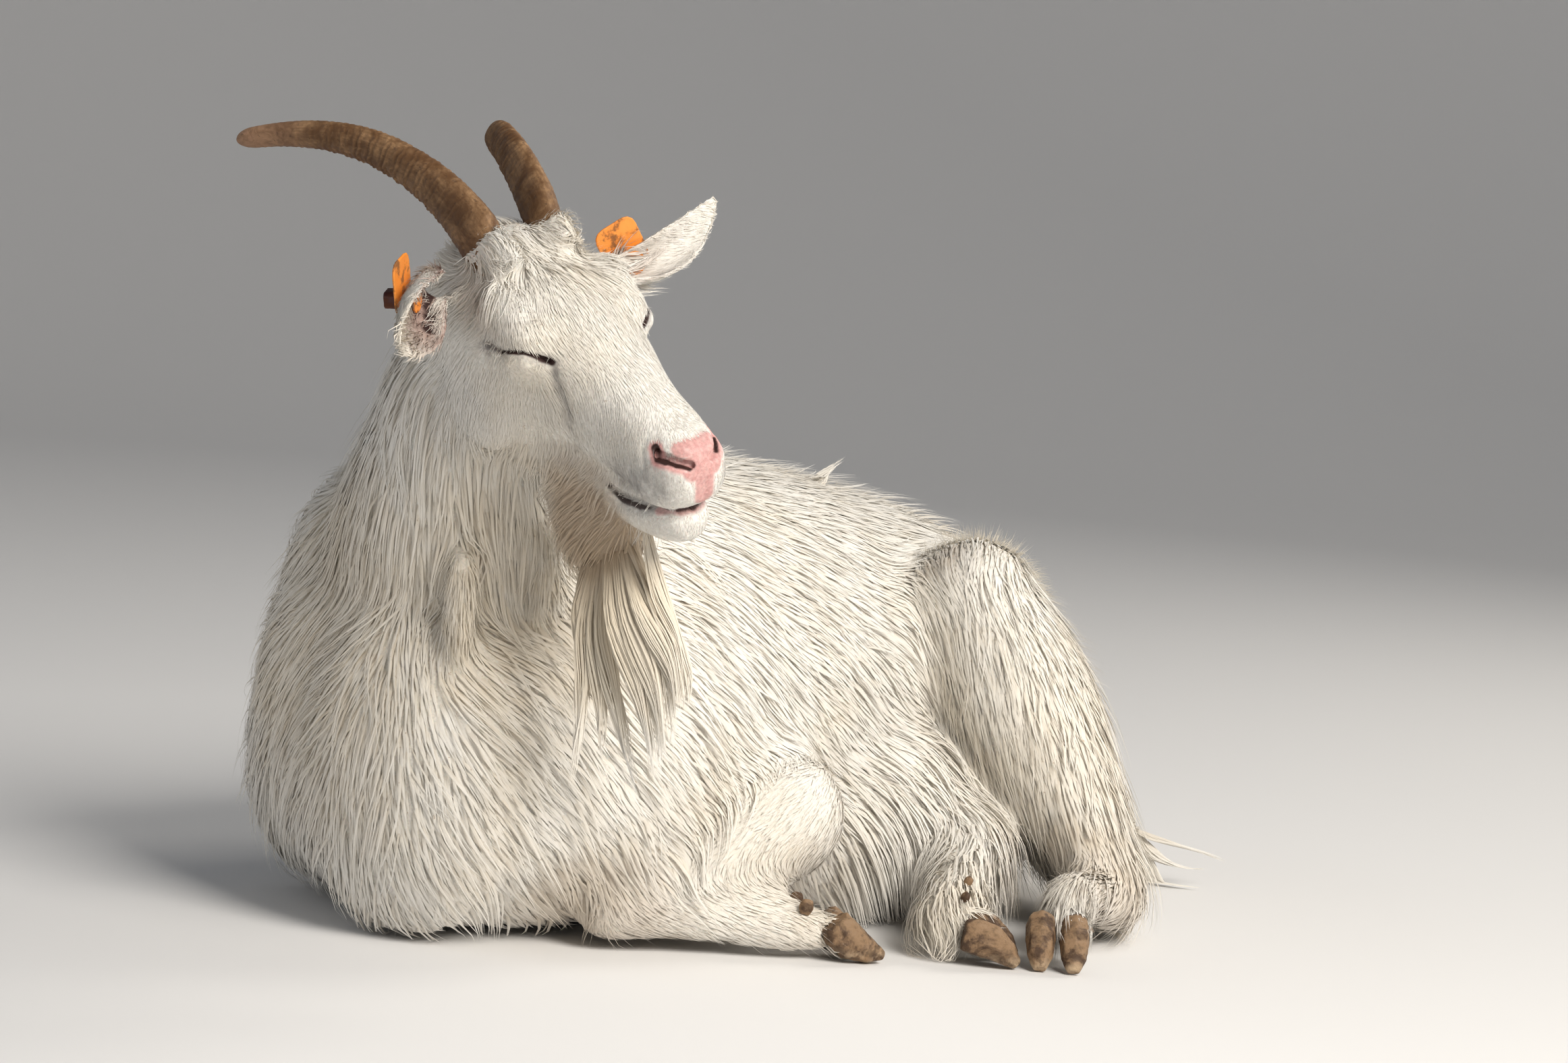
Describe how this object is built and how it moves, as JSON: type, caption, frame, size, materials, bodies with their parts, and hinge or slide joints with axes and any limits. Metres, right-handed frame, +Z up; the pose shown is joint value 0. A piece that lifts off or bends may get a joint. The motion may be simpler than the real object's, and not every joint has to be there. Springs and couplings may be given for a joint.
{
  "type": "goat",
  "caption": "Life-size still model of a white horned, bearded goat lying on its chest with its head turned to its left and its eyes closed.",
  "frame": {"origin": "on the floor, at the middle of the bounding box", "axes": "+Z up, +Y towards the goat's rump, +X towards the goat's own left"},
  "size_m": [0.6534, 1.1031, 0.6481],
  "materials": {
    "coat": "long white hair, matt",
    "horn": "brown horn, ridged across and worn",
    "hoof": "brown hoof horn, dry and dusty",
    "eyelid": "bare skin of the closed lids",
    "tag_plastic": "orange moulded plastic",
    "button_plastic": "dark red-brown moulded plastic"
  },
  "bodies": {
    "root": {"beard": "coat", "claw_fore_left_inner": "hoof", "claw_fore_left_outer": "hoof", "claw_fore_right_inner": "hoof", "claw_fore_right_outer": "hoof", "claw_hind_left_inner": "hoof", "claw_hind_left_outer": "hoof", "claw_hind_right_inner": "hoof", "claw_hind_right_outer": "hoof", "dewclaw_fore_left_inner": "hoof", "dewclaw_fore_left_outer": "hoof", "dewclaw_fore_right_inner": "hoof", "dewclaw_fore_right_outer": "hoof", "dewclaw_hind_left_inner": "hoof", "dewclaw_hind_left_outer": "hoof", "dewclaw_hind_right_inner": "hoof", "dewclaw_hind_right_outer": "hoof", "ear_left": "coat", "ear_right": "coat", "eyelid_left": "eyelid", "eyelid_right": "eyelid", "fore_leg_left": "coat", "fore_leg_right": "coat", "head": "coat", "hind_leg_left": "coat", "hind_leg_right": "coat", "horn_left": "horn", "horn_right": "horn", "neck": "coat", "tag_button_left": "button_plastic", "tag_button_right": "button_plastic", "tag_flap_left": "tag_plastic", "tag_flap_right": "tag_plastic", "tag_pin_left": "tag_plastic", "tag_pin_right": "tag_plastic", "tail": "coat", "trunk": "coat", "wattle_left": "coat", "wattle_right": "coat"}
  },
  "joints": []
}
